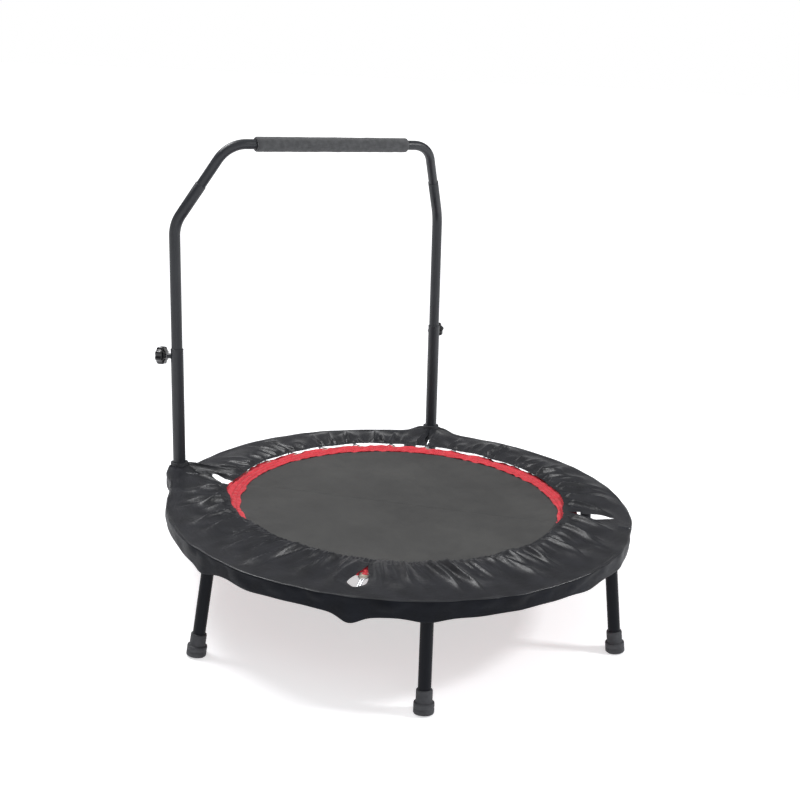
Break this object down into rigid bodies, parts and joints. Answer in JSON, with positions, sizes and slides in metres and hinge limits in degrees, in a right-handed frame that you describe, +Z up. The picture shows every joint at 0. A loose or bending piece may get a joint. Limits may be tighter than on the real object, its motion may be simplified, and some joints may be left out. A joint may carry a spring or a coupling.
{
  "type": "mini trampoline",
  "caption": "Folding round mini trampoline on short legs, with a spring-hung mat, ruffled black pad cover, red mat border and a height-adjustable U handlebar.",
  "frame": {"origin": "on the floor, under the centre of the mat", "axes": "+Z up, +Y from the mat's centre towards the handlebar, +X to the right of someone who faces the handlebar"},
  "size_m": [1.0614, 1.015, 0.9725],
  "materials": {
    "painted_tube": "satin dark grey powder coat",
    "bare_steel": "bright zinc plate",
    "cover_cloth": "thin coated polyester with a soft sheen",
    "mat_cloth": "woven polypropylene, matt",
    "border_cloth": "red woven band with sewn rows",
    "grip_foam": "matt closed-cell foam",
    "foot_rubber": "matt moulded rubber",
    "knob_plastic": "gloss moulded plastic"
  },
  "bodies": {
    "rear_frame": {"frame_arc_rear": "painted_tube", "frame_arc_right": "painted_tube", "frame_sleeve_rear_right": "painted_tube", "hinge_clevis_left": "painted_tube", "hinge_clevis_right": "painted_tube", "hinge_pin_left": "bare_steel", "hinge_pin_right": "bare_steel", "leg_rear_right": "painted_tube", "leg_socket_rear_right": "painted_tube", "foot_rear_right": "foot_rubber", "leg_rear_left": "painted_tube", "leg_socket_rear_left": "painted_tube", "foot_rear_left": "foot_rubber", "leg_side_right": "painted_tube", "leg_socket_side_right": "painted_tube", "foot_side_right": "foot_rubber", "post_lower_left": "painted_tube", "knob_boss_left": "painted_tube", "post_collar_left": "foot_rubber", "post_bracket_left": "painted_tube", "post_lower_right": "painted_tube", "knob_boss_right": "painted_tube", "post_collar_right": "foot_rubber", "post_bracket_right": "painted_tube", "cover_rear": "cover_cloth", "cover_right": "cover_cloth", "springs_rear": "bare_steel", "springs_right": "bare_steel"},
    "front_frame": {"frame_arc_left": "painted_tube", "frame_arc_front": "painted_tube", "frame_sleeve_front_left": "painted_tube", "hinge_tongue_left": "painted_tube", "hinge_tongue_right": "painted_tube", "leg_side_left": "painted_tube", "leg_socket_side_left": "painted_tube", "foot_side_left": "foot_rubber", "leg_front_left": "painted_tube", "leg_socket_front_left": "painted_tube", "foot_front_left": "foot_rubber", "leg_front_right": "painted_tube", "leg_socket_front_right": "painted_tube", "foot_front_right": "foot_rubber", "cover_left": "cover_cloth", "cover_front": "cover_cloth", "springs_left": "bare_steel", "springs_front": "bare_steel"},
    "mat_rear": {"mat_rear": "mat_cloth", "mat_border_rear": "border_cloth"},
    "mat_front": {"mat_front": "mat_cloth", "mat_border_front": "border_cloth"},
    "handlebar": {"handlebar_tube_left": "painted_tube", "handlebar_tube_right": "painted_tube", "handlebar_top": "painted_tube", "handlebar_grip": "grip_foam"},
    "knob_left": {"knob_left": "knob_plastic", "knob_stud_left": "bare_steel"},
    "knob_right": {"knob_right": "knob_plastic", "knob_stud_right": "bare_steel"}
  },
  "joints": [
    {"name": "frame_fold", "type": "hinge", "parent": "rear_frame", "child": "front_frame", "pos_m": [0, 0, 0.2125], "axis": [-0.7071, 0.7071, 0], "range_deg": [0, 140]},
    {"name": "mat_bounce_rear", "type": "slide", "parent": "rear_frame", "child": "mat_rear", "axis": [0, 0, 1], "range_m": [-0.08, 0], "stiffness_N_per_m": 5000, "deforming": ["springs_rear", "springs_right"]},
    {"name": "mat_bounce_front", "type": "slide", "parent": "front_frame", "child": "mat_front", "axis": [0, 0, 1], "range_m": [-0.08, 0], "stiffness_N_per_m": 5000, "deforming": ["springs_left", "springs_front"]},
    {"name": "handlebar_height", "type": "slide", "parent": "rear_frame", "child": "handlebar", "axis": [0, 0.0497, 0.9988], "range_m": [0, 0.298]},
    {"name": "knob_turn_left", "type": "hinge", "parent": "rear_frame", "child": "knob_left", "pos_m": [-0.352, 0.40984, 0.478], "axis": [-0.6696, 0.7418, -0.0369], "continuous": true},
    {"name": "knob_turn_right", "type": "hinge", "parent": "rear_frame", "child": "knob_right", "pos_m": [0.352, 0.40984, 0.478], "axis": [0.6696, 0.7418, -0.0369], "continuous": true}
  ],
  "couplings": [
    {"joint": "mat_bounce_front", "follows": "mat_bounce_rear", "ratio": 1}
  ]
}
